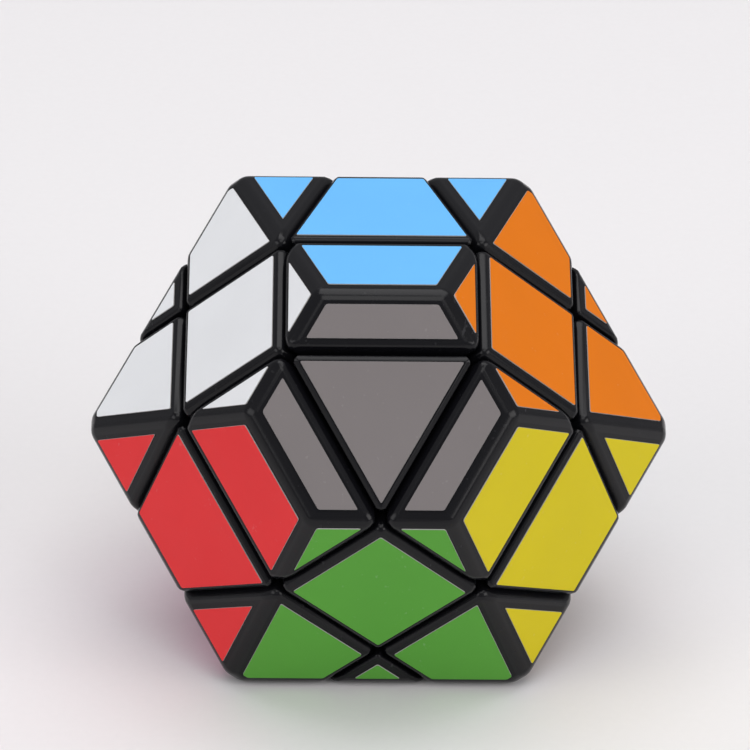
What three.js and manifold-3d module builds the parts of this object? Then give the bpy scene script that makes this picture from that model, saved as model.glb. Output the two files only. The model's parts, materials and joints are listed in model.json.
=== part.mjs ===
// Shape-modified 3x3x3 twisty puzzle: a hexagonal bipyramid with cut-off tips, on a cube mechanism.
// Millimetres, +Z up. The origin is on the resting face, straight below the centre of the core.
//
// Everything is modelled in the mechanism's own axes, where x, y and z are the three turning axes
// and the core is at 0, and the finished puzzle is then set down on one face.
// Node names give a piece's place on those axes: px is the +x side, nx is the -x side.
//
// The outside is what a cube and its slightly larger twin, turned 60 degrees about the cube's
// (1, 1, 1) diagonal, have in common. That leaves twelve faces, with two tips on the diagonal and
// six points round the waist. The tips are cut off as hexagons, and the waist points are blunted.
//
// The cuts between layers are flat outside the track sphere. Inside it they lie deeper, so every
// edge and corner has a foot that hooks under its neighbours, and every layer turns on a sphere.

import * as THREE from 'three';
import { mergeVertices } from 'three/addons/utils/BufferGeometryUtils.js';
import Module from 'manifold-3d';

const wasm = await Module();
wasm.setup();

// Outer shape
const TWIN_HALF = 28.5;       // core to each face of the twin, and so to what the puzzle rests on
const CUBE_HALF = 28.1;       // core to each face of the cube
const TIP_FACE = 27.75;       // core to the two hexagons
const WAIST_POINT = 39.05;    // core to each blunted waist point
const FAR = 60;               // safely outside the puzzle

// Cuts between the pieces
const CUT = TWIN_HALF / 3;                          // core to each cut between layers
const GAP = 0.4;                                    // play between pieces that pass each other
const TRACK = 20;                                   // radius of the track sphere
const FOOT_CUT = 6;                                 // core to each cut between feet
const FOOT_INNER = 15;                              // radius inside which there are no feet

// Corner pieces: a shell on a foot with a six-sided stem, as distances from the core
const SEAM = 22.5;
const STEM_ROOT = 21;
const STEM_TOP = 25.2;
const STEM_RADIUS = 2.2;
const SEAM_PLAY = 0.3;

// Core, screws and springs, as distances from the core's centre along each axis
const CORE_RADIUS = 7.5;
const ARM_RADIUS = 4.2;
const ARM_END = 9.3;
const SCREW_START = 2.8;
const THREAD_RADIUS = 1.45;
const THREAD_HOLE_RADIUS = 1.8;
const HUB_START = 9.6;
const HUB_FLOOR = 11.6;
const HUB_BORE_RADIUS = 3.5;
const SPRING_START = 12.3;
const SPRING_END = 16.1;
const SPRING_RADIUS = 2.5;
const SPRING_WIRE_RADIUS = 0.33;
const SPRING_TURNS = 4;
const WASHER_START = 16.8;
const WASHER_END = 17.4;
const WASHER_RADIUS = 3.1;
const HEAD_START = 17.7;
const HEAD_END = 19.7;
const HEAD_RADIUS = 2.8;
const HUB_END = 23.6;
const CAP_START = 23.95;
const CAP_PLUG_START = 21.9;
const CAP_PLUG_RADIUS = 3.15;

// Facets
const TRACK_DETAIL = 4;
const INNER_DETAIL = 3;
const CORE_DETAIL = 2;
const ROUND = 14;
const WIRE_SIDES = 5;

const plastic = (color, roughness) => new THREE.MeshStandardMaterial({ color, roughness, metalness: 0 });
const shellBlack = plastic(0x101012, 0.32);
const footBlack = plastic(0x1a1a1c, 0.5);
const coreWhite = plastic(0xd9d7d0, 0.45);
const steel = new THREE.MeshStandardMaterial({ color: 0xb4b7bb, roughness: 0.3, metalness: 1 });

const X_AXIS = new THREE.Vector3(1, 0, 0);
const Y_AXIS = new THREE.Vector3(0, 1, 0);
const Z_AXIS = new THREE.Vector3(0, 0, 1);

const puzzle = new THREE.Group();

// ---- Solids ----

function toSolid(geometry) {
  geometry.deleteAttribute('normal');
  geometry.deleteAttribute('uv');
  const merged = mergeVertices(geometry, 1e-4);
  return new wasm.Manifold(new wasm.Mesh({
    numProp: 3,
    vertProperties: new Float32Array(merged.attributes.position.array),
    triVerts: new Uint32Array(merged.index.array),
  }));
}

function toGeometry(solid) {
  const { vertProperties, triVerts } = solid.getMesh();
  const geometry = new THREE.BufferGeometry();
  geometry.setAttribute('position', new THREE.BufferAttribute(vertProperties, 3));
  geometry.setIndex(new THREE.BufferAttribute(triVerts, 1));
  geometry.computeVertexNormals();
  return geometry;
}

function addPiece(name, solid, material) {
  const mesh = new THREE.Mesh(toGeometry(solid), material);
  mesh.name = name;
  puzzle.add(mesh);
  return mesh;
}

function box(low, high) {
  const size = high.map((value, i) => value - low[i]);
  const middle = high.map((value, i) => (value + low[i]) / 2);
  return toSolid(new THREE.BoxGeometry(...size).translate(...middle));
}

function ball(radius, detail) {
  return toSolid(new THREE.IcosahedronGeometry(radius, detail));
}

// A round or many-sided bar along a direction from the core, between two distances from it.
function bar(direction, radius, start, end, sides) {
  const geometry = new THREE.CylinderGeometry(radius, radius, end - start, sides);
  geometry.translate(0, (start + end) / 2, 0);
  geometry.applyQuaternion(new THREE.Quaternion().setFromUnitVectors(Y_AXIS, direction));
  return toSolid(geometry);
}

// Everything further from the core than a plane square to a direction.
function beyond(normal, distance) {
  const geometry = new THREE.BoxGeometry(4 * FAR, 4 * FAR, 2 * FAR);
  geometry.translate(0, 0, distance + FAR);
  geometry.applyQuaternion(new THREE.Quaternion().setFromUnitVectors(Z_AXIS, normal));
  return toSolid(geometry);
}

// ---- The outside of the whole puzzle ----

function bothWays(normals) {
  return normals.flatMap((normal) => {
    const unit = new THREE.Vector3(...normal).normalize();
    return [unit, unit.clone().negate()];
  });
}

function outside() {
  const planes = [
    [CUBE_HALF, [[1, 0, 0], [0, 1, 0], [0, 0, 1]]],
    [TWIN_HALF, [[-1, 2, 2], [2, -1, 2], [2, 2, -1]]],
    [TIP_FACE, [[1, 1, 1]]],
    [WAIST_POINT, [[1, -1, 0], [0, 1, -1], [1, 0, -1]]],
  ];
  let solid = box([-FAR, -FAR, -FAR], [FAR, FAR, FAR]);
  for (const [distance, normals] of planes) {
    for (const normal of bothWays(normals)) solid = solid.subtract(beyond(normal, distance));
  }
  return solid;
}

const wholeOutside = outside();
const overTrack = ball(TRACK + GAP / 2, TRACK_DETAIL);
const underTrack = ball(TRACK - GAP / 2, TRACK_DETAIL);
const insideFeet = ball(FOOT_INNER, INNER_DETAIL);
const insideShells = ball(SEAM + SEAM_PLAY, INNER_DETAIL);
const insideSeam = ball(SEAM, INNER_DETAIL);

// ---- Edges and corners ----

// The block of space that belongs to one piece: signs holds -1, 0 or 1 for each axis.
function cell(signs, cut) {
  const low = signs.map((sign) => [-FAR, GAP / 2 - cut, cut + GAP / 2][sign + 1]);
  const high = signs.map((sign) => [-cut - GAP / 2, cut - GAP / 2, FAR][sign + 1]);
  return box(low, high);
}

function place(signs) {
  const sides = signs.map((sign, i) => ['n', '', 'p'][sign + 1] + 'xyz'[i]);
  return sides.filter((side, i) => signs[i] !== 0).join('_');
}

function outerBody(signs) {
  return wholeOutside.intersect(cell(signs, CUT));
}

function foot(signs) {
  return underTrack.intersect(cell(signs, FOOT_CUT));
}

// The part of the outer body that stands on the piece's own foot.
function neck(signs) {
  return outerBody(signs).intersect(cell(signs, FOOT_CUT));
}

function addEdge(signs) {
  const solid = outerBody(signs).subtract(overTrack).add(neck(signs)).add(foot(signs));
  addPiece(`edge_${place(signs)}`, solid.subtract(insideFeet), shellBlack);
}

function addCorner(signs) {
  const direction = new THREE.Vector3(...signs).normalize();
  const stem = bar(direction, STEM_RADIUS, STEM_ROOT, STEM_TOP, 6);
  const socket = bar(direction, STEM_RADIUS + SEAM_PLAY, STEM_ROOT, STEM_TOP + SEAM_PLAY, 6);
  const shell = outerBody(signs).subtract(insideShells).subtract(socket);
  const base = neck(signs).intersect(insideSeam).add(foot(signs)).subtract(insideFeet).add(stem);
  addPiece(`corner_shell_${place(signs)}`, shell, shellBlack);
  addPiece(`corner_foot_${place(signs)}`, base, footBlack);
}

function addEdgesAndCorners() {
  const values = [-1, 0, 1];
  for (const x of values) {
    for (const y of values) {
      for (const z of values) {
        const sides = Math.abs(x) + Math.abs(y) + Math.abs(z);
        if (sides === 2) addEdge([x, y, z]);
        if (sides === 3) addCorner([x, y, z]);
      }
    }
  }
}

// ---- Core, and what each of its six arms carries, made on +x ----

const SIX_DIRECTIONS = bothWays([[1, 0, 0], [0, 1, 0], [0, 0, 1]]);

function core() {
  let solid = ball(CORE_RADIUS, CORE_DETAIL);
  for (const direction of SIX_DIRECTIONS) {
    solid = solid.add(bar(direction, ARM_RADIUS, 0, ARM_END, ROUND));
  }
  for (const direction of SIX_DIRECTIONS) {
    solid = solid.subtract(bar(direction, THREAD_HOLE_RADIUS, SCREW_START - 0.3, FAR, ROUND));
  }
  return solid;
}

// A turned shape on +x from its half outline, as [radius, distance] points.
function turned(outline) {
  const points = outline.map(([radius, distance]) => new THREE.Vector2(radius, distance));
  const geometry = new THREE.LatheGeometry(points, ROUND);
  geometry.applyQuaternion(new THREE.Quaternion().setFromUnitVectors(Y_AXIS, X_AXIS));
  return toSolid(geometry);
}

function hub() {
  const half = CUT - GAP / 2;
  const column = FOOT_CUT - GAP / 2;
  const head = box([CUT + GAP / 2, -half, -half], [HUB_END, half, half]).subtract(overTrack);
  const post = box([HUB_START, -column, -column], [HUB_END, column, column]);
  return head.add(post)
    .subtract(bar(X_AXIS, THREAD_HOLE_RADIUS, HUB_START - 1, HUB_FLOOR + 1, ROUND))
    .subtract(bar(X_AXIS, HUB_BORE_RADIUS, HUB_FLOOR, FAR, ROUND));
}

function cap() {
  const half = CUT - GAP / 2;
  const plate = box([CAP_START, -half, -half], [CUBE_HALF, half, half]);
  return plate.add(bar(X_AXIS, CAP_PLUG_RADIUS, CAP_PLUG_START, CAP_START + 1, ROUND));
}

function screw() {
  const rim = 0.4;
  const slotHalf = 0.35;
  const slotReach = 1.5;
  const slotDepth = 1.1;
  const solid = turned([
    [0, SCREW_START], [THREAD_RADIUS - rim, SCREW_START], [THREAD_RADIUS, SCREW_START + rim],
    [THREAD_RADIUS, HEAD_START], [HEAD_RADIUS, HEAD_START], [HEAD_RADIUS, HEAD_END - rim],
    [HEAD_RADIUS - rim, HEAD_END], [0, HEAD_END],
  ]);
  const bottom = HEAD_END - slotDepth;
  return solid
    .subtract(box([bottom, -slotHalf, -slotReach], [FAR, slotHalf, slotReach]))
    .subtract(box([bottom, -slotReach, -slotHalf], [FAR, slotReach, slotHalf]));
}

function washer() {
  return turned([
    [THREAD_HOLE_RADIUS, WASHER_START], [WASHER_RADIUS, WASHER_START],
    [WASHER_RADIUS, WASHER_END], [THREAD_HOLE_RADIUS, WASHER_END],
    [THREAD_HOLE_RADIUS, WASHER_START],
  ]);
}

class Helix extends THREE.Curve {
  getPoint(t) {
    const angle = 2 * Math.PI * SPRING_TURNS * t;
    const along = SPRING_START + (SPRING_END - SPRING_START) * t;
    return new THREE.Vector3(along, SPRING_RADIUS * Math.cos(angle), SPRING_RADIUS * Math.sin(angle));
  }
}

function spring() {
  const stepsPerTurn = 11;
  const section = new THREE.Shape();
  for (let side = 0; side < WIRE_SIDES; side += 1) {
    const angle = 2 * Math.PI * side / WIRE_SIDES;
    const [x, y] = [SPRING_WIRE_RADIUS * Math.cos(angle), SPRING_WIRE_RADIUS * Math.sin(angle)];
    if (side === 0) section.moveTo(x, y);
    else section.lineTo(x, y);
  }
  const geometry = new THREE.ExtrudeGeometry(section, {
    steps: SPRING_TURNS * stepsPerTurn,
    extrudePath: new Helix(),
    bevelEnabled: false,
  });
  return toSolid(geometry);
}

function addArmPieces() {
  const sides = ['px', 'nx', 'py', 'ny', 'pz', 'nz'];
  const pieces = [
    ['screw', screw(), steel],
    ['washer', washer(), steel],
    ['spring', spring(), steel],
    ['centre_hub', hub(), footBlack],
    ['centre_cap', cap(), shellBlack],
  ];
  for (const [name, solid, material] of pieces) {
    SIX_DIRECTIONS.forEach((direction, i) => {
      const mesh = addPiece(`${name}_${sides[i]}`, solid, material);
      mesh.quaternion.setFromUnitVectors(X_AXIS, direction);
    });
  }
}

// ---- Set down on the face opposite (-1, 2, 2), with the (0, 1, -1) waist points to the sides ----

function restingTurn() {
  const up = new THREE.Vector3(-1, 2, 2).normalize();
  const right = new THREE.Vector3(0, 1, -1).normalize();
  const away = new THREE.Vector3().crossVectors(up, right);
  const toPuzzleAxes = new THREE.Matrix4().makeBasis(right, away, up);
  return new THREE.Quaternion().setFromRotationMatrix(toPuzzleAxes).invert();
}

addPiece('core', core(), coreWhite);
addArmPieces();
addEdgesAndCorners();
puzzle.quaternion.copy(restingTurn());
puzzle.position.set(0, 0, TWIN_HALF);

export default puzzle;
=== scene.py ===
"""A twisty puzzle: a truncated hexagonal bipyramid shell on a 3x3x3 cube mechanism.

The black mouldings are cut from blocks by the same planes that bound the puzzle and its layers,
rounded, and hollowed by the sphere that the layers turn on. The stickers are cut the same way,
a margin inside each facet. Everything is modelled in millimetres on the mechanism's own axes,
which are read from the frame's joints, and is then placed in the frame.
"""

import json
import math
from itertools import combinations

import bmesh
import bpy
from bpy.props import FloatProperty, FloatVectorProperty, IntProperty, PointerProperty
from mathutils import Matrix, Vector


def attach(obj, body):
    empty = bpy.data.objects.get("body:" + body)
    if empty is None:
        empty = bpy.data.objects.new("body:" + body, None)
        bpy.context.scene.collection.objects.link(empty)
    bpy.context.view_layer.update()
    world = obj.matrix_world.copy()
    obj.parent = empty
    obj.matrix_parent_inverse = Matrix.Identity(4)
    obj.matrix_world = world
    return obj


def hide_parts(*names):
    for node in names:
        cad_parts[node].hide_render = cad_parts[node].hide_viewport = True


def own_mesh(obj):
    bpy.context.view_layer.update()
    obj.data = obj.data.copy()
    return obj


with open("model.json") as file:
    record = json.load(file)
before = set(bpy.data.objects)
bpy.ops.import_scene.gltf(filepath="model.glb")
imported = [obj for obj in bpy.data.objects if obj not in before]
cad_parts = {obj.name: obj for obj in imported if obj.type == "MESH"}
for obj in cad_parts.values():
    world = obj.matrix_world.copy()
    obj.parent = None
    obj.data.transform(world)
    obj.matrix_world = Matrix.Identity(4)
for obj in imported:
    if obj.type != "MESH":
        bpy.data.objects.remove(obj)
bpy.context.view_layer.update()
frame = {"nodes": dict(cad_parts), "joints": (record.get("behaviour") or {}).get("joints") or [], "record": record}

bl_info = {
    "name": "Bipyramid Twisty Puzzle",
    "version": (1, 0, 0),
    "blender": (4, 5, 0),
    "location": "View3D > Sidebar > Puzzle",
    "description": "Builds the mouldings, stickers, springs and stage of a shape-modified 3x3x3 puzzle",
    "category": "Object",
}

# ---- The mechanism's axes, from the frame ----

MM = 0.001
JOINTS = {joint["name"]: joint for joint in frame["joints"]}
CENTRE = Vector(JOINTS["turn_py_layer"]["pos_m"])
AXES = [Vector(JOINTS[f"lift_centre_p{axis}"]["axis"]).normalized() for axis in "xyz"]
TO_FRAME = Matrix.Translation(CENTRE) @ Matrix(AXES).transposed().to_4x4() @ Matrix.Scale(MM, 4)
BODY_OF_NODE = {
    node: body for body, nodes in frame["record"]["behaviour"]["bodies"].items() for node in nodes
}


def extent(node, direction):
    """Nearest and furthest distance of a CAD node from the core along a direction, in millimetres."""
    world = (TO_FRAME.to_3x3() @ Vector(direction)).normalized()
    values = [(vert.co - CENTRE).dot(world) / MM for vert in frame["nodes"][node].data.vertices]
    return min(values), max(values)


# ---- Driving dimensions, in millimetres ----

TWIN_HALF = CENTRE.z / MM
CUBE_HALF = extent("centre_cap_pz", (0, 0, 1))[1]
TIP_FACE = extent("corner_shell_px_py_pz", (1, 1, 1))[1]
WAIST_POINT = extent("edge_px_ny", (1, -1, 0))[1]
CUT = TWIN_HALF / 3
GAP = 0.4                           # play between neighbouring pieces
TRACK = 20.0                        # radius of the sphere that the layers turn on
FOOT_CUT = 6.0                      # where the cuts lie inside that sphere
FOOT_INNER = 15.0                   # radius of the hollow inside the edges' feet
SEAM = 22.8                         # radius of the hollow inside a corner's shell
NECK_REACH = 3                      # how far an edge's neck goes to either side of the track
NECK_INSET = 0.1                    # how far the neck's sides lie inside the body's and the foot's
PLUG_RADIUS = 3.1                   # the plug under a cap, which sits in its hub's bore
PLUG_OVERLAP = 2                    # how far the plug passes its hub's end, into the cap
PLUG_SIDES = 32
SOCKET_RADIUS = 2.5                 # the socket in a corner's shell for its foot's stem
SOCKET_END = 25.5
SOCKET_SIDES = 6
SPRING_WIRE = 0.3                   # radius of the wire
SPRING_COIL = 2.5                   # radius of the coil, to the middle of the wire
SPRING_TURNS = 5
SPRING_WIRE_SIDES = 8
SPRING_STEPS = 20                   # steps in each turn of the coil
STICKER_SINK = 0.01                 # how far a sticker's underside lies inside its moulding
STICKER_RIM = 0.04                  # rounding of a sticker's top edge
STICKER_CORNER_STEPS = 3
STICKER_COUNT = 68
SMALLEST_STICKER = 2.0              # area below which a facet is left bare
REST = 0.1                          # how far inside a flat a sticker's edge lies

# ---- How shapes are made ----

BIG = 4 * TWIN_HALF                 # the size of a block or a sheet before it is cut
BALL_DETAIL = 4
TOUCH = 0.002                       # what lies beyond a plane by less than this isn't cut
ON_PLANE = 1e-4                     # vertices nearer to a cutting plane than this lie in it
SAME_POINT = 1e-3                   # vertices closer together than this are merged
SAME_FLAT = math.radians(0.4)       # faces closer in direction than this are merged into one
FINE_TURN = math.radians(35)        # faces closer in direction than this are already a rounding
SHARP_TURN = math.radians(32)       # edges that turn by more than this are shaded as sharp
PARALLEL = 0.999                    # the cosine from which two directions count as the same
FLAT = 0.99995                      # the cosine from which a facet counts as part of a plane

# The seven faces turned towards the tip that shows: the cube's, its twin's and the tip's.
# Each has its direction from the core and its distance.
NEAR_FACES = {
    "green": ((1, 0, 0), CUBE_HALF),
    "orange": ((0, 1, 0), CUBE_HALF),
    "white": ((0, 0, 1), CUBE_HALF),
    "blue": ((-1, 2, 2), TWIN_HALF),
    "red": ((2, -1, 2), TWIN_HALF),
    "yellow": ((2, 2, -1), TWIN_HALF),
    "grey": ((1, 1, 1), TIP_FACE),
}
OPPOSITE = {
    "green": "purple",
    "orange": "pink",
    "white": "brown",
    "blue": "lime",
    "red": "teal",
    "yellow": "cream",
    "grey": "dark_blue",
}
COLOURS = {
    "green": (0.102, 0.357, 0.047),
    "orange": (0.690, 0.170, 0.003),
    "white": (0.766, 0.780, 0.794),
    "blue": (0.148, 0.486, 0.902),
    "red": (0.790, 0.038, 0.042),
    "yellow": (0.637, 0.526, 0.010),
    "grey": (0.189, 0.172, 0.171),
    "purple": (0.130, 0.050, 0.300),
    "pink": (0.720, 0.250, 0.420),
    "dark_blue": (0.020, 0.050, 0.280),
    "lime": (0.390, 0.600, 0.050),
    "teal": (0.020, 0.270, 0.260),
    "cream": (0.760, 0.640, 0.370),
    "brown": (0.190, 0.080, 0.030),
}


def unit(direction):
    return Vector(direction).normalized()


def sticker_faces():
    """Colour to (outward direction, distance from the core) of each of the fourteen stickered faces."""
    faces = {}
    for key, (direction, distance) in NEAR_FACES.items():
        faces[key] = (unit(direction), distance)
        faces[OPPOSITE[key]] = (-unit(direction), distance)
    return faces


def outside_planes():
    """Every plane that bounds the whole puzzle: the stickered faces and the six blunted waist points."""
    planes = list(sticker_faces().values())
    for direction in ((1, -1, 0), (0, 1, -1), (1, 0, -1)):
        for side in (1, -1):
            planes.append((side * unit(direction), WAIST_POINT))
    return planes


def cell_planes(signs, cut, play=GAP / 2):
    """The planes between one piece and its neighbours. signs holds -1, 0 or 1 for each axis."""
    planes = []
    for axis, sign in enumerate(signs):
        direction = Vector([float(i == axis) for i in range(3)])
        if sign == 0:
            planes += [(direction, cut - play), (-direction, cut - play)]
        else:
            planes.append((-sign * direction, -(cut + play)))
    return planes


def place(signs):
    """A piece's place as its node's name gives it, such as px_ny."""
    return "_".join(
        ("n", "", "p")[sign + 1] + "xyz"[axis] for axis, sign in enumerate(signs) if sign
    )


def all_places(sides):
    """The signs of every centre (1 side), edge (2) or corner (3)."""
    values = (-1, 0, 1)
    places = [(x, y, z) for x in values for y in values for z in values]
    return [signs for signs in places if sum(map(abs, signs)) == sides]


# ---- Sizes and colours that a user would change ----

class PuzzleSizes(bpy.types.PropertyGroup):
    cut_radius: FloatProperty(
        name="Cut Edge Radius", description="Largest rounding where a face meets a cut between layers",
        default=0.0011, unit="LENGTH", subtype="DISTANCE")
    face_radius: FloatProperty(
        name="Face Edge Radius", description="Rounding where two faces of one moulding meet",
        default=0.0024, unit="LENGTH", subtype="DISTANCE")
    rounding: IntProperty(
        name="Rounding Steps", description="Facets across each rounded edge", default=4, min=2, max=8)
    cut_margin: FloatProperty(
        name="Margin at Cuts", description="Bare plastic between a sticker and a cut",
        default=0.0013, unit="LENGTH", subtype="DISTANCE")
    tip_margin: FloatProperty(
        name="Margin on Sharp Edges", description="The same, on mouldings whose edges are sharply angled",
        default=0.0016, unit="LENGTH", subtype="DISTANCE")
    face_margin: FloatProperty(
        name="Margin at Face Edges", description="Bare plastic between a sticker and the next face",
        default=0.0017, unit="LENGTH", subtype="DISTANCE")
    small_margin: FloatProperty(
        name="Margin of Small Triangles", description="The same, round the small stickers by the tips",
        default=0.0011, unit="LENGTH", subtype="DISTANCE")
    waist_margin: FloatProperty(
        name="Margin of Waist Triangles", description="The same, round the small stickers at the waist",
        default=0.00185, unit="LENGTH", subtype="DISTANCE")
    hexagon_margin: FloatProperty(
        name="Margin at Hexagon Cuts", description="Bare plastic beside a cut, on a hexagon's side stickers",
        default=0.0009, unit="LENGTH", subtype="DISTANCE")
    sticker_thickness: FloatProperty(
        name="Sticker Thickness", description="Thickness of the vinyl",
        default=0.00015, unit="LENGTH", subtype="DISTANCE")
    sticker_corner: FloatProperty(
        name="Sticker Corner Radius", description="Rounding of the stickers' corners",
        default=0.00025, unit="LENGTH", subtype="DISTANCE")


def colour_property(title, default):
    return FloatVectorProperty(
        name=title, description=f"{title} colour", default=default, size=3, min=0, max=1,
        subtype="COLOR")


class PuzzleColours(bpy.types.PropertyGroup):
    plastic: colour_property("Plastic", (0.0045, 0.0045, 0.0058))
    inner_plastic: colour_property("Inner Plastic", (0.0110, 0.0110, 0.0120))
    core_plastic: colour_property("Core Plastic", (0.560, 0.550, 0.500))
    steel: colour_property("Steel", (0.540, 0.550, 0.570))
    floor: colour_property("Floor", (0.780, 0.766, 0.768))
    vinyl_edge: colour_property("Vinyl Cut Edge", (0.420, 0.410, 0.400))
    __annotations__.update(
        {f"sticker_{key}": colour_property(f"{key.replace('_', ' ').title()} Sticker", value)
         for key, value in COLOURS.items()}
    )


def size(name):
    """One of the user's sizes, in millimetres."""
    return getattr(bpy.context.scene.puzzle_sizes, name) / MM


def colour(name):
    return (*getattr(bpy.context.scene.puzzle_colours, name), 1.0)


# ---- Shader groups ----

def new_group(name, inputs, outputs):
    """An empty node group. inputs maps a socket name to its default, and Vector has none."""
    group = bpy.data.node_groups.new(name, "ShaderNodeTree")
    for title, default in inputs.items():
        kind = "NodeSocketVector" if default is None else "NodeSocketFloat"
        if isinstance(default, tuple):
            kind = "NodeSocketColor"
        socket = group.interface.new_socket(title, in_out="INPUT", socket_type=kind)
        if default is not None:
            socket.default_value = default
    for title, kind in outputs.items():
        group.interface.new_socket(title, in_out="OUTPUT", socket_type=kind)
    return group, group.nodes.new("NodeGroupInput"), group.nodes.new("NodeGroupOutput")


def feed(tree, socket, value):
    """Sets a socket to a number or a colour, or links another node's output to it."""
    if isinstance(value, bpy.types.NodeSocket):
        tree.links.new(value, socket)
    else:
        socket.default_value = value


def math_node(tree, operation, first, second):
    node = tree.nodes.new("ShaderNodeMath")
    node.operation = operation
    feed(tree, node.inputs[0], first)
    feed(tree, node.inputs[1], second)
    return node.outputs[0]


def noise(tree, vector, scale, detail, roughness=0.5):
    node = tree.nodes.new("ShaderNodeTexNoise")
    tree.links.new(vector, node.inputs["Vector"])
    feed(tree, node.inputs["Scale"], scale)
    node.inputs["Detail"].default_value = detail
    node.inputs["Roughness"].default_value = roughness
    return node.outputs["Fac"]


def remap(tree, value, low, high, to_low, to_high):
    node = tree.nodes.new("ShaderNodeMapRange")
    node.clamp = True
    tree.links.new(value, node.inputs["Value"])
    limits = {"From Min": low, "From Max": high, "To Min": to_low, "To Max": to_high}
    for title, limit in limits.items():
        feed(tree, node.inputs[title], limit)
    return node.outputs["Result"]


# The mix node has a set of sockets for each kind of value. These are the ones for colours.
MIX_FACTOR = 0
MIX_FIRST = 6
MIX_SECOND = 7
MIX_RESULT = 2


def mix_colour(tree, factor, first, second):
    node = tree.nodes.new("ShaderNodeMix")
    node.data_type = "RGBA"
    feed(tree, node.inputs[MIX_FACTOR], factor)
    feed(tree, node.inputs[MIX_FIRST], first)
    feed(tree, node.inputs[MIX_SECOND], second)
    return node.outputs[MIX_RESULT]


def surface_group():
    """Moulded or printed surface: a fine grain with slow waves, as a height, and an uneven gloss."""
    name = "Surface Grain"
    if name in bpy.data.node_groups:
        return bpy.data.node_groups[name]
    group, entry, out = new_group(
        name,
        {"Vector": None, "Grain Scale": 2500.0, "Wave Scale": 160.0, "Waves": 0.35,
         "Gloss Low": 0.25, "Gloss High": 0.4},
        {"Height": "NodeSocketFloat", "Roughness": "NodeSocketFloat"},
    )
    vector = entry.outputs["Vector"]
    grain = noise(group, vector, entry.outputs["Grain Scale"], 3)
    waves = noise(group, vector, entry.outputs["Wave Scale"], 2)
    weighted = math_node(group, "MULTIPLY", waves, entry.outputs["Waves"])
    height = math_node(group, "ADD", grain, weighted)
    patches = noise(group, vector, scale=95, detail=4, roughness=0.6)
    gloss = remap(group, patches, 0.3, 0.7, entry.outputs["Gloss Low"], entry.outputs["Gloss High"])
    group.links.new(height, out.inputs["Height"])
    group.links.new(gloss, out.inputs["Roughness"])
    return group


def wear_group():
    """Fine scratches, dust specks and soft blotches, each as a mask."""
    name = "Handling Wear"
    if name in bpy.data.node_groups:
        return bpy.data.node_groups[name]
    group, entry, out = new_group(
        name,
        {"Vector": None, "Scratches": 0.5, "Specks": 0.5},
        {"Scratches": "NodeSocketFloat", "Specks": "NodeSocketFloat", "Blotches": "NodeSocketFloat"},
    )
    vector = entry.outputs["Vector"]
    stretched = group.nodes.new("ShaderNodeMapping")
    stretched.inputs["Rotation"].default_value = (0.6, 0.9, 0.4)
    stretched.inputs["Scale"].default_value = (1500, 45, 900)
    group.links.new(vector, stretched.inputs["Vector"])
    lines = noise(group, stretched.outputs["Vector"], scale=1.0, detail=2)
    scratch = remap(group, lines, 0.68, 0.76, 0.0, 1.0)
    patches = remap(group, noise(group, vector, scale=120, detail=2), 0.5, 0.62, 0.0, 1.0)
    scratch = math_node(group, "MULTIPLY", scratch, patches)
    scratch = math_node(group, "MULTIPLY", scratch, entry.outputs["Scratches"])
    speck = remap(group, noise(group, vector, scale=1500, detail=1), 0.74, 0.78, 0.0, 1.0)
    speck = math_node(group, "MULTIPLY", speck, entry.outputs["Specks"])
    blotch = remap(group, noise(group, vector, scale=70, detail=3), 0.35, 0.7, 0.0, 1.0)
    group.links.new(scratch, out.inputs["Scratches"])
    group.links.new(speck, out.inputs["Specks"])
    group.links.new(blotch, out.inputs["Blotches"])
    return group


def new_material(name):
    """A material with its Principled shader, object coordinates and node tree."""
    material = bpy.data.materials.new(name)
    material.use_nodes = True
    tree = material.node_tree
    shader = tree.nodes["Principled BSDF"]
    coordinates = tree.nodes.new("ShaderNodeTexCoord").outputs["Object"]
    return material, tree, shader, coordinates


def place_group(tree, group, coordinates, **values):
    node = tree.nodes.new("ShaderNodeGroup")
    node.node_tree = group
    tree.links.new(coordinates, node.inputs["Vector"])
    for title, value in values.items():
        node.inputs[title.replace("_", " ")].default_value = value
    return node


def add_bump(tree, shader, height, distance, strength):
    bump = tree.nodes.new("ShaderNodeBump")
    bump.inputs["Distance"].default_value = distance
    bump.inputs["Strength"].default_value = strength
    tree.links.new(height, bump.inputs["Height"])
    tree.links.new(bump.outputs["Normal"], shader.inputs["Normal"])


BLOTCH_SHADE = 0.96                 # how bright a blotch is against the base colour
SCRATCH_DULLING = 0.25              # roughness that a full scratch adds
BUMP_STRENGTH = 0.6


def finish_surface(
        name, base, marks, gloss, bump, scratches, specks, metallic=0.0, specular=0.5):
    """A moulded, printed or metal surface of one base colour, with marks in a second colour.

    gloss is the least and the greatest roughness, and bump the depth of the grain in millimetres.
    """
    if name in bpy.data.materials:
        return bpy.data.materials[name]
    material, tree, shader, coordinates = new_material(name)
    grain = place_group(
        tree, surface_group(), coordinates, Gloss_Low=gloss[0], Gloss_High=gloss[1])
    wear = place_group(tree, wear_group(), coordinates, Scratches=scratches, Specks=specks)
    shade = tuple(channel * BLOTCH_SHADE for channel in base[:3]) + (1.0,)
    tinted = mix_colour(tree, wear.outputs["Blotches"], base, shade)
    scratched = mix_colour(tree, wear.outputs["Scratches"], tinted, marks)
    dusty = mix_colour(tree, wear.outputs["Specks"], scratched, marks)
    tree.links.new(dusty, shader.inputs["Base Color"])
    dulled = math_node(tree, "MULTIPLY", wear.outputs["Scratches"], SCRATCH_DULLING)
    roughness = math_node(tree, "ADD", grain.outputs["Roughness"], dulled)
    tree.links.new(roughness, shader.inputs["Roughness"])
    shader.inputs["Metallic"].default_value = metallic
    shader.inputs["Specular IOR Level"].default_value = specular
    add_bump(tree, shader, grain.outputs["Height"], bump * MM, BUMP_STRENGTH)
    return material


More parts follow.
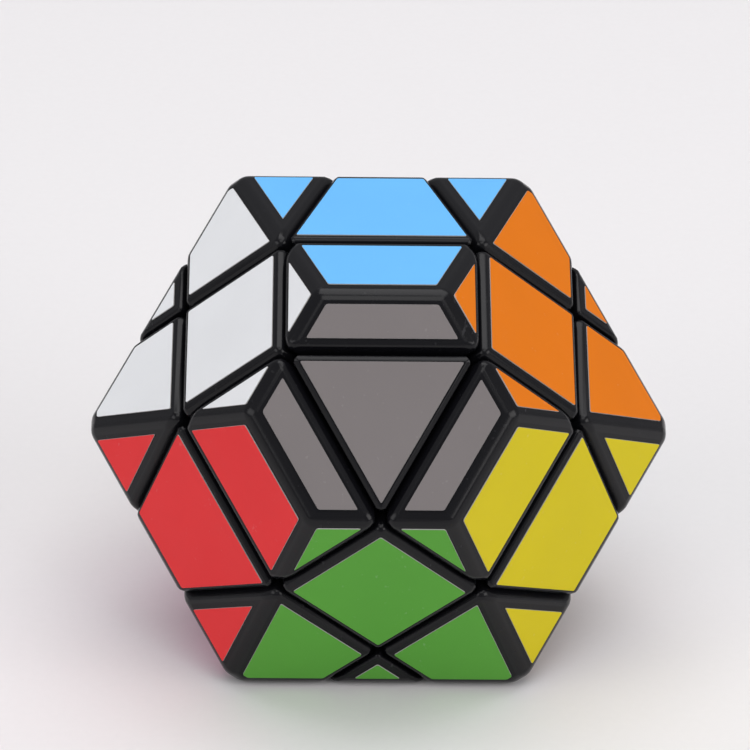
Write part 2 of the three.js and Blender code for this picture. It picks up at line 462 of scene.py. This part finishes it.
def plastic_material():
    return finish_surface(
        "black_abs", colour("plastic"), marks=(0.04, 0.04, 0.044, 1), gloss=(0.17, 0.25),
        bump=0.008, scratches=0.35, specks=0.3, specular=0.18)


def rim_material():
    return finish_surface(
        "black_abs_rims", colour("plastic"), marks=(0.04, 0.04, 0.044, 1), gloss=(0.15, 0.23),
        bump=0.005, scratches=0.6, specks=0.25, specular=0.24)


def inner_material():
    return finish_surface(
        "black_nylon", colour("inner_plastic"), marks=(0.06, 0.06, 0.06, 1), gloss=(0.4, 0.55),
        bump=0.02, scratches=0.6, specks=0.2)


def core_material():
    return finish_surface(
        "pale_nylon", colour("core_plastic"), marks=(0.3, 0.29, 0.26, 1), gloss=(0.4, 0.55),
        bump=0.02, scratches=0.4, specks=0.2)


def steel_material():
    return finish_surface(
        "zinc_plated_steel", colour("steel"), marks=(0.3, 0.3, 0.31, 1), gloss=(0.2, 0.36),
        bump=0.008, scratches=0.8, specks=0.1, metallic=1.0)


def vinyl_material(key):
    """Coloured vinyl, whose marks are paler than itself."""
    base = colour(f"sticker_{key}")
    marks = tuple(0.55 * channel + 0.3 for channel in base[:3]) + (1.0,)
    return finish_surface(
        f"vinyl_{key}", base, marks, gloss=(0.4, 0.52), bump=0.01, scratches=0.25, specks=0.12,
        specular=0.12)


def vinyl_edge_material():
    return finish_surface(
        "vinyl_cut_edge", colour("vinyl_edge"), marks=(0.6, 0.6, 0.6, 1), gloss=(0.5, 0.6),
        bump=0.004, scratches=0.2, specks=0.1)


# ---- Cutting and rounding blocks ----

def cut_off(shape, normal, distance):
    """Removes what lies beyond a plane from a closed bmesh, and closes it again."""
    everything = shape.verts[:] + shape.edges[:] + shape.faces[:]
    result = bmesh.ops.bisect_plane(
        shape, geom=everything, dist=ON_PLANE, plane_co=normal * distance, plane_no=normal,
        clear_outer=True)
    rim = [item for item in result["geom_cut"] if isinstance(item, bmesh.types.BMEdge)]
    if rim:
        bmesh.ops.edgeloop_fill(shape, edges=rim)


def cut_by(shape, planes):
    for normal, distance in planes:
        if any(vert.co.dot(normal) > distance + TOUCH for vert in shape.verts):
            cut_off(shape, normal, distance)


def block(planes):
    """The closed convex block inside all of the planes."""
    shape = bmesh.new()
    bmesh.ops.create_cube(shape, size=BIG)
    cut_by(shape, planes)
    bmesh.ops.recalc_face_normals(shape, faces=shape.faces)
    return shape


def ball(radius):
    shape = bmesh.new()
    bmesh.ops.create_icosphere(shape, subdivisions=BALL_DETAIL, radius=radius)
    return shape


def bar(direction, radius, start, end, sides):
    """A closed bar along a direction from the core."""
    shape = bmesh.new()
    turn = unit(direction).to_track_quat("Z", "Y").to_matrix().to_4x4()
    shift = Matrix.Translation((0, 0, (start + end) / 2))
    bmesh.ops.create_cone(
        shape, cap_ends=True, segments=sides, radius1=radius, radius2=radius, depth=end - start,
        matrix=turn @ shift)
    return shape


def as_object(shape, name):
    """Turns a bmesh into an object, still in millimetres on the mechanism's axes."""
    mesh = bpy.data.meshes.new(name)
    shape.to_mesh(mesh)
    shape.free()
    piece = bpy.data.objects.new(name, mesh)
    bpy.context.scene.collection.objects.link(piece)
    return piece


def discard(piece):
    mesh = piece.data
    bpy.data.objects.remove(piece)
    bpy.data.meshes.remove(mesh)


def as_shape(piece):
    """Turns an object without modifiers back into a bmesh."""
    shape = bmesh.new()
    shape.from_mesh(piece.data)
    discard(piece)
    return shape


def apply_modifiers(piece):
    """Makes what the modifiers show the object's own mesh."""
    bpy.context.view_layer.update()
    shown = piece.evaluated_get(bpy.context.evaluated_depsgraph_get())
    mesh = bpy.data.meshes.new_from_object(shown)
    old = piece.data
    piece.modifiers.clear()
    piece.data = mesh
    bpy.data.meshes.remove(old)


def combine(piece, shape, operation):
    """Joins a bmesh to a piece (UNION) or takes it away (DIFFERENCE)."""
    tool = as_object(shape, "tool")
    modifier = piece.modifiers.new("combine", "BOOLEAN")
    modifier.operation = operation
    modifier.solver = "EXACT"
    modifier.object = tool
    apply_modifiers(piece)
    discard(tool)


def spread(normals, steps):
    """Unit directions spread over the fan between three or more face normals."""
    shares = [(i, j, steps - i - j) for i in range(steps + 1) for j in range(steps + 1 - i)]
    for first, second, third in combinations(normals, 3):
        for i, j, k in shares:
            yield (first * i + second * j + third * k).normalized()


def grown(shape, radius, steps):
    """The convex block grown by a radius on every side, which rounds all of its edges and points."""
    result = bmesh.new()
    for vert in shape.verts:
        normals = [face.normal.copy() for face in vert.link_faces]
        fine = all(first.angle(second) < FINE_TURN for first, second in combinations(normals, 2))
        for direction in spread(normals, 1 if fine else steps):
            result.verts.new(vert.co + direction * radius)
    shape.free()
    bmesh.ops.remove_doubles(result, verts=result.verts, dist=SAME_POINT)
    wrapped = bmesh.ops.convex_hull(result, input=result.verts)
    spare = set(wrapped["geom_interior"] + wrapped["geom_unused"])
    loose = [item for item in spare if isinstance(item, bmesh.types.BMVert)]
    bmesh.ops.delete(result, geom=loose, context="VERTS")
    bmesh.ops.dissolve_limit(
        result, angle_limit=SAME_FLAT, verts=result.verts, edges=result.edges)
    bmesh.ops.recalc_face_normals(result, faces=result.faces)
    return result


def shifted(planes, distance):
    """The same planes, moved away from the core by a distance."""
    return [(normal, reach + distance) for normal, reach in planes]


def cut_radii(signs, cell):
    """The rounding at each cut of a piece, small enough to end before the stickers beside it."""
    radii = [size("cut_radius")] * len(cell)
    for face in sticker_faces().values():
        outline = sticker_outline(signs, face)
        margin = sticker_margins(signs, face)[0]
        for index, other in enumerate(cell):
            if abs(other[0].dot(face[0])) > PARALLEL:
                continue
            towards, reach = in_plane_cut(face, other, margin)
            if any(vert.co.dot(towards) > reach - TOUCH for vert in outline.verts):
                wedge = math.pi - other[0].angle(face[0])
                radii[index] = min(radii[index], (margin - REST) * math.tan(wedge / 2))
        outline.free()
    return radii


def rounded(signs, cell, name):
    """A moulding inside the outer planes and its cell's planes, as an object.

    It starts short of the outer planes by the radius of their edges and grows up to them in
    stages. Each growth rounds the edges that are there already, so the cuts are made between the
    growths: first those that can take the full radius, and then the rest, at the smallest one.
    """
    outer = outside_planes()
    reached = size("face_radius")
    steps = bpy.context.scene.puzzle_sizes.rounding
    radii = cut_radii(signs, cell)
    full = max(radii)
    stages = [(full, [plane for plane, own in zip(cell, radii) if own == full])]
    if min(radii) < full:
        stages.append((min(radii), [plane for plane, own in zip(cell, radii) if own < full]))
    shape = block(shifted(outer, -reached) + shifted(cell, reached))
    for radius, cuts in stages:
        shape = grown(shape, reached - radius, steps)
        reached = radius
        cut_by(shape, shifted(cuts, -radius))
        bmesh.ops.recalc_face_normals(shape, faces=shape.faces)
    shape = grown(shape, reached, steps)
    flats = [plane[0] for plane in outer + cell]
    for face in shape.faces:
        on_flat = any(face.normal.dot(normal) > FLAT for normal in flats)
        face.material_index = 0 if on_flat else 1
    piece = as_object(shape, name)
    piece.data.materials.append(plastic_material())
    piece.data.materials.append(rim_material())
    return piece


def settle(piece, node):
    """Places a finished moulding in the frame, on the body of the CAD node that it stands for."""
    piece.data.transform(TO_FRAME)
    smooth(piece)
    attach(piece, BODY_OF_NODE[node])
    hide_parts(node)


def smooth(piece):
    """Shades the roundings smoothly and leaves the flat faces flat."""
    piece.data.shade_smooth()
    piece.data.set_sharp_from_angle(angle=SHARP_TURN)
    weighted = piece.modifiers.new("flat_faces_stay_flat", "WEIGHTED_NORMAL")
    weighted.mode = "FACE_AREA"
    weighted.weight = 80
    weighted.keep_sharp = True


# ---- Mouldings ----

def make_cap(signs):
    """A centre's cap, with the plug that holds it in its hub."""
    node = f"centre_cap_{place(signs)}"
    direction = Vector(signs)
    plug_start = extent(node, direction)[0]
    hub_end = extent(f"centre_hub_{place(signs)}", direction)[1]
    cell = cell_planes(signs, CUT) + [(-direction, -(hub_end + GAP))]
    piece = rounded(signs, cell, f"cap_{place(signs)}")
    plug = bar(direction, PLUG_RADIUS, plug_start, hub_end + PLUG_OVERLAP, PLUG_SIDES)
    combine(piece, plug, "UNION")
    settle(piece, node)


def foot_shape(signs):
    """The part of an edge that hooks under its neighbours."""
    shape = ball(TRACK - GAP / 2)
    cut_by(shape, cell_planes(signs, FOOT_CUT))
    piece = as_object(shape, "foot")
    combine(piece, ball(FOOT_INNER), "DIFFERENCE")
    return as_shape(piece)


def neck_shape(signs):
    """The part of an edge that joins its body to its foot, through the gap at the track."""
    direction = unit(signs)
    play = GAP / 2 + NECK_INSET
    planes = cell_planes(signs, FOOT_CUT, play) + cell_planes(signs, CUT, play)
    planes += [(direction, TRACK + NECK_REACH), (-direction, -(TRACK - NECK_REACH))]
    return block(planes)


def make_edge(signs):
    """An edge's body, neck and foot in one moulding."""
    piece = rounded(signs, cell_planes(signs, CUT), f"edge_{place(signs)}_body")
    combine(piece, ball(TRACK + GAP / 2), "DIFFERENCE")
    combine(piece, neck_shape(signs), "UNION")
    combine(piece, foot_shape(signs), "UNION")
    settle(piece, f"edge_{place(signs)}")


def make_corner(signs):
    """A corner's shell, with the socket for the stem of its foot."""
    piece = rounded(signs, cell_planes(signs, CUT), f"corner_{place(signs)}")
    combine(piece, ball(SEAM), "DIFFERENCE")
    combine(piece, bar(signs, SOCKET_RADIUS, TRACK, SOCKET_END, SOCKET_SIDES), "DIFFERENCE")
    settle(piece, f"corner_shell_{place(signs)}")


# ---- Stickers ----

def in_plane_cut(face, other, margin):
    """The plane that trims a sticker on face, square to it, a margin short of where other crosses it."""
    normal, distance = face
    towards = (other[0] - other[0].dot(normal) * normal).normalized()
    reach = (other[1] - distance * other[0].dot(normal)) / other[0].dot(towards)
    return towards, reach - margin


def sticker_margins(signs, face):
    """How far a sticker stays from the cuts beside it, and from the next face of its moulding."""
    tip = face[0].dot(unit((1, 1, 1)))
    on_hexagon = abs(tip) > PARALLEL
    on_cube = max(map(abs, face[0])) > PARALLEL
    lean = abs(sum(signs))
    at_cut, at_face = size("cut_margin"), size("face_margin")
    if lean == 3:
        at_cut = size("tip_margin")
    elif on_hexagon:
        at_cut = size("hexagon_margin")
    if lean == 2 and on_cube and tip * sum(signs) > 0:
        at_face = size("small_margin")
    elif lean == 1 and all(signs) and not on_cube:
        at_face = size("waist_margin")
    return at_cut, at_face


def sticker_outline(signs, face):
    """The sticker's flat outline on one face of one piece, as a bmesh, empty where there is none."""
    normal, distance = face
    shape = bmesh.new()
    turn = normal.to_track_quat("Z", "Y").to_matrix().to_4x4()
    bmesh.ops.create_grid(
        shape, x_segments=1, y_segments=1, size=BIG,
        matrix=Matrix.Translation(normal * (distance - STICKER_SINK)) @ turn)
    at_cut, at_face = sticker_margins(signs, face)
    trims = [(other, at_face) for other in outside_planes()]
    trims += [(other, at_cut) for other in cell_planes(signs, CUT)]
    for other, margin in trims:
        if abs(other[0].dot(normal)) > PARALLEL:
            if other[0].dot(normal) * distance > other[1] + TOUCH:
                shape.clear()
            continue
        towards, reach = in_plane_cut(face, other, margin)
        everything = shape.verts[:] + shape.edges[:] + shape.faces[:]
        bmesh.ops.bisect_plane(
            shape, geom=everything, dist=ON_PLANE, plane_co=towards * reach, plane_no=towards,
            clear_outer=True)
    return shape


def make_sticker(signs, key, face):
    """The sticker of one face on one piece, or None where the piece has no facet on that face."""
    normal = face[0]
    shape = sticker_outline(signs, face)
    if sum(facet.calc_area() for facet in shape.faces) < SMALLEST_STICKER:
        shape.free()
        return None
    corner = size("sticker_corner")
    bmesh.ops.remove_doubles(shape, verts=shape.verts, dist=2 * corner)
    bmesh.ops.bevel(
        shape, geom=shape.verts[:], offset=corner, affect="VERTICES",
        segments=STICKER_CORNER_STEPS, profile=0.5, material=-1)
    raised = bmesh.ops.extrude_face_region(shape, geom=shape.faces[:])
    top = [item for item in raised["geom"] if isinstance(item, bmesh.types.BMVert)]
    bmesh.ops.translate(shape, verts=top, vec=normal * (size("sticker_thickness") + STICKER_SINK))
    bmesh.ops.recalc_face_normals(shape, faces=shape.faces)
    for facet in shape.faces:
        facet.material_index = 0 if abs(facet.normal.dot(normal)) > PARALLEL else 1
    rim = [edge for edge in shape.edges if all(vert in top for vert in edge.verts)]
    bmesh.ops.bevel(
        shape, geom=rim, offset=STICKER_RIM, affect="EDGES", segments=2, profile=0.5, material=-1)
    piece = as_object(shape, f"sticker_{key}_{place(signs)}")
    piece.data.materials.append(vinyl_material(key))
    piece.data.materials.append(vinyl_edge_material())
    piece.data.transform(TO_FRAME)
    smooth(piece)
    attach(piece, BODY_OF_NODE[carrier(signs)])
    return piece


def carrier(signs):
    """The CAD node that carries a place's stickers."""
    kind = {1: "centre_cap", 2: "edge", 3: "corner_shell"}[sum(map(abs, signs))]
    return f"{kind}_{place(signs)}"


# ---- Springs ----

def coil_shape(start, end):
    """Round wire wound about the z axis from start to end, with closed ends."""
    shape = bmesh.new()
    bmesh.ops.create_circle(
        shape, cap_ends=False, segments=SPRING_WIRE_SIDES, radius=SPRING_WIRE)
    bmesh.ops.rotate(shape, verts=shape.verts, matrix=Matrix.Rotation(math.pi / 2, 3, "X"))
    bmesh.ops.translate(shape, verts=shape.verts, vec=(SPRING_COIL, 0, start + SPRING_WIRE))
    steps = SPRING_TURNS * SPRING_STEPS
    rise = (end - start - 2 * SPRING_WIRE) / steps
    bmesh.ops.spin(
        shape, geom=shape.verts[:] + shape.edges[:], cent=(0, 0, 0), axis=(0, 0, 1),
        dvec=(0, 0, rise), angle=2 * math.pi * SPRING_TURNS, steps=steps, use_merge=False)
    bmesh.ops.holes_fill(shape, edges=shape.edges, sides=0)
    bmesh.ops.recalc_face_normals(shape, faces=shape.faces)
    return shape


def make_spring(signs):
    """A centre's spring, as a fixed coil that spans its CAD node and rides on that node's body."""
    node = f"spring_{place(signs)}"
    direction = Vector(signs)
    start, end = extent(node, direction)
    shape = coil_shape(start, end)
    turn = direction.to_track_quat("Z", "Y").to_matrix()
    bmesh.ops.rotate(shape, verts=shape.verts, matrix=turn)
    piece = as_object(shape, f"coil_{place(signs)}")
    piece.data.materials.append(steel_material())
    piece.data.transform(TO_FRAME)
    piece.data.shade_smooth()
    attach(piece, BODY_OF_NODE[node])
    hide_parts(node)
    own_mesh(piece)


# ---- Stage ----

# The camera's angles in degrees, its place against the core in millimetres, and its lens.
VIEW_AZIMUTH = -0.86
VIEW_ELEVATION = 29.48
VIEW_ROLL = 0.86
VIEW_DISTANCE = 646.3
VIEW_ASIDE = -0.5
VIEW_ABOVE = 7.17
VIEW_LENS = 230.1
VIEW_SENSOR = 36
VIEW_NEAREST = 0.01
VIEW_FURTHEST = 50

# Each light's azimuth and elevation in degrees, distance and width in metres, watts and tint.
LIGHTS = {
    "overhead": (160, 78, 1.0, 1.1, 5.7, (1.0, 0.99, 1.0)),
    "front": (5, 62, 1.5, 0.9, 3.5, (1.0, 0.99, 0.98)),
    "left": (-58, 26, 1.5, 1.1, 4.8, (1.0, 0.99, 1.0)),
    "right": (58, 24, 1.5, 1.1, 7.4, (1.0, 0.98, 0.97)),
}
LIGHT_HEIGHT = 0.7                  # a light's height against its width
ROOM_TINT = (0.95, 0.95, 0.99, 1.0)
ROOM_STRENGTH = 0.4
FLOOR_HALF = 3.0                    # metres from the floor's middle to its sides
FLOOR_CLEARANCE = 0.01              # millimetres between the floor and the stickers over it
FIBRE_SHADE = 1.03                  # how bright the floor's fibres are against its colour


def around(azimuth, elevation):
    """The direction from the core towards a place round it, azimuth 0 being in front."""
    turn = math.radians(azimuth)
    rise = math.radians(elevation)
    level = math.cos(rise)
    return Vector((math.sin(turn) * level, -math.cos(turn) * level, math.sin(rise)))


def make_camera():
    camera = bpy.data.objects.new("camera", bpy.data.cameras.new("camera"))
    bpy.context.scene.collection.objects.link(camera)
    back = around(VIEW_AZIMUTH, VIEW_ELEVATION)
    turn = back.to_track_quat("Z", "Y").to_matrix() @ Matrix.Rotation(math.radians(VIEW_ROLL), 3, "Z")
    offset = turn @ Vector((VIEW_ASIDE, VIEW_ABOVE, VIEW_DISTANCE))
    camera.matrix_world = Matrix.Translation(CENTRE + offset * MM) @ turn.to_4x4()
    camera.data.lens = VIEW_LENS
    camera.data.sensor_width = VIEW_SENSOR
    camera.data.clip_start = VIEW_NEAREST
    camera.data.clip_end = VIEW_FURTHEST
    bpy.context.scene.camera = camera


def make_light(name, azimuth, elevation, distance, width, power, tint):
    data = bpy.data.lights.new(name, "AREA")
    data.shape = "RECTANGLE"
    data.size = width
    data.size_y = width * LIGHT_HEIGHT
    data.energy = power
    data.color = tint
    light = bpy.data.objects.new(name, data)
    bpy.context.scene.collection.objects.link(light)
    back = around(azimuth, elevation)
    light.matrix_world = (
        Matrix.Translation(CENTRE + back * distance) @ back.to_track_quat("Z", "Y").to_matrix().to_4x4())


def make_world():
    world = bpy.data.worlds.new("room")
    world.use_nodes = True
    background = world.node_tree.nodes["Background"]
    background.inputs["Color"].default_value = ROOM_TINT
    background.inputs["Strength"].default_value = ROOM_STRENGTH
    bpy.context.scene.world = world


def make_floor():
    shape = bmesh.new()
    level = (-size("sticker_thickness") - FLOOR_CLEARANCE) * MM
    bmesh.ops.create_grid(
        shape, x_segments=1, y_segments=1, size=FLOOR_HALF,
        matrix=Matrix.Translation((0, 0, level)))
    floor = as_object(shape, "floor")
    material, tree, shader, coordinates = new_material("floor_paper")
    fibre = noise(tree, coordinates, scale=900, detail=4)
    base = colour("floor")
    lighter = tuple(min(1, channel * FIBRE_SHADE) for channel in base[:3]) + (1.0,)
    tree.links.new(mix_colour(tree, fibre, base, lighter), shader.inputs["Base Color"])
    shader.inputs["Roughness"].default_value = 0.85
    add_bump(tree, shader, fibre, distance=0.00002, strength=0.3)
    floor.data.materials.append(material)


# ---- Operators ----

class PUZZLE_OT_centre_caps(bpy.types.Operator):
    """Make the six centre caps"""
    bl_idname = "puzzle.centre_caps"
    bl_label = "Centre Caps"

    def execute(self, context):
        for signs in all_places(1):
            make_cap(signs)
        return {"FINISHED"}


class PUZZLE_OT_edges(bpy.types.Operator):
    """Make the twelve edge mouldings, each with the foot that hooks under its neighbours"""
    bl_idname = "puzzle.edges"
    bl_label = "Edges"

    def execute(self, context):
        for signs in all_places(2):
            make_edge(signs)
        return {"FINISHED"}


class PUZZLE_OT_corners(bpy.types.Operator):
    """Make the eight corner shells"""
    bl_idname = "puzzle.corners"
    bl_label = "Corners"

    def execute(self, context):
        for signs in all_places(3):
            make_corner(signs)
        return {"FINISHED"}


class PUZZLE_OT_stickers(bpy.types.Operator):
    """Make a sticker for every facet on the fourteen coloured faces"""
    bl_idname = "puzzle.stickers"
    bl_label = "Stickers"

    def execute(self, context):
        made = []
        for sides in (1, 2, 3):
            for signs in all_places(sides):
                for key, face in sticker_faces().items():
                    made.append(make_sticker(signs, key, face))
        count = sum(piece is not None for piece in made)
        if count != STICKER_COUNT:
            raise RuntimeError(f"expected {STICKER_COUNT} stickers and made {count}")
        return {"FINISHED"}


class PUZZLE_OT_springs(bpy.types.Operator):
    """Make the six coil springs that hold the centres down"""
    bl_idname = "puzzle.springs"
    bl_label = "Springs"

    def execute(self, context):
        for signs in all_places(1):
            make_spring(signs)
        return {"FINISHED"}


class PUZZLE_OT_inner_finishes(bpy.types.Operator):
    """Give the core, hubs, feet, screws and washers their finishes"""
    bl_idname = "puzzle.inner_finishes"
    bl_label = "Inner Finishes"

    def execute(self, context):
        finishes = {
            "core": core_material, "centre_hub": inner_material, "corner_foot": inner_material,
            "screw": steel_material, "washer": steel_material,
        }
        for node, piece in frame["nodes"].items():
            for prefix, material in finishes.items():
                if node.startswith(prefix):
                    piece.data.materials.clear()
                    piece.data.materials.append(material())
        return {"FINISHED"}


class PUZZLE_OT_stage(bpy.types.Operator):
    """Make the floor, the lights and the camera"""
    bl_idname = "puzzle.stage"
    bl_label = "Stage"

    def execute(self, context):
        make_camera()
        make_world()
        make_floor()
        for name, values in LIGHTS.items():
            make_light(name, *values)
        context.scene.view_settings.view_transform = "Standard"
        return {"FINISHED"}


class PUZZLE_PT_panel(bpy.types.Panel):
    """Lists the puzzle's operators"""
    bl_label = "Twisty Puzzle"
    bl_idname = "PUZZLE_PT_panel"
    bl_space_type = "VIEW_3D"
    bl_region_type = "UI"
    bl_category = "Puzzle"

    def draw(self, context):
        for operator in OPERATORS:
            self.layout.operator(operator.bl_idname)


OPERATORS = (
    PUZZLE_OT_stage, PUZZLE_OT_centre_caps, PUZZLE_OT_edges, PUZZLE_OT_corners,
    PUZZLE_OT_stickers, PUZZLE_OT_springs, PUZZLE_OT_inner_finishes,
)
CLASSES = (PuzzleSizes, PuzzleColours, *OPERATORS, PUZZLE_PT_panel)


def register():
    for item in CLASSES:
        bpy.utils.register_class(item)
    bpy.types.Scene.puzzle_sizes = PointerProperty(type=PuzzleSizes)
    bpy.types.Scene.puzzle_colours = PointerProperty(type=PuzzleColours)


def unregister():
    del bpy.types.Scene.puzzle_colours
    del bpy.types.Scene.puzzle_sizes
    for item in reversed(CLASSES):
        bpy.utils.unregister_class(item)


def main():
    register()
    bpy.ops.puzzle.stage()
    bpy.ops.puzzle.centre_caps()
    bpy.ops.puzzle.edges()
    bpy.ops.puzzle.corners()
    bpy.ops.puzzle.stickers()
    bpy.ops.puzzle.springs()
    bpy.ops.puzzle.inner_finishes()


if __name__ == "__main__":
    main()
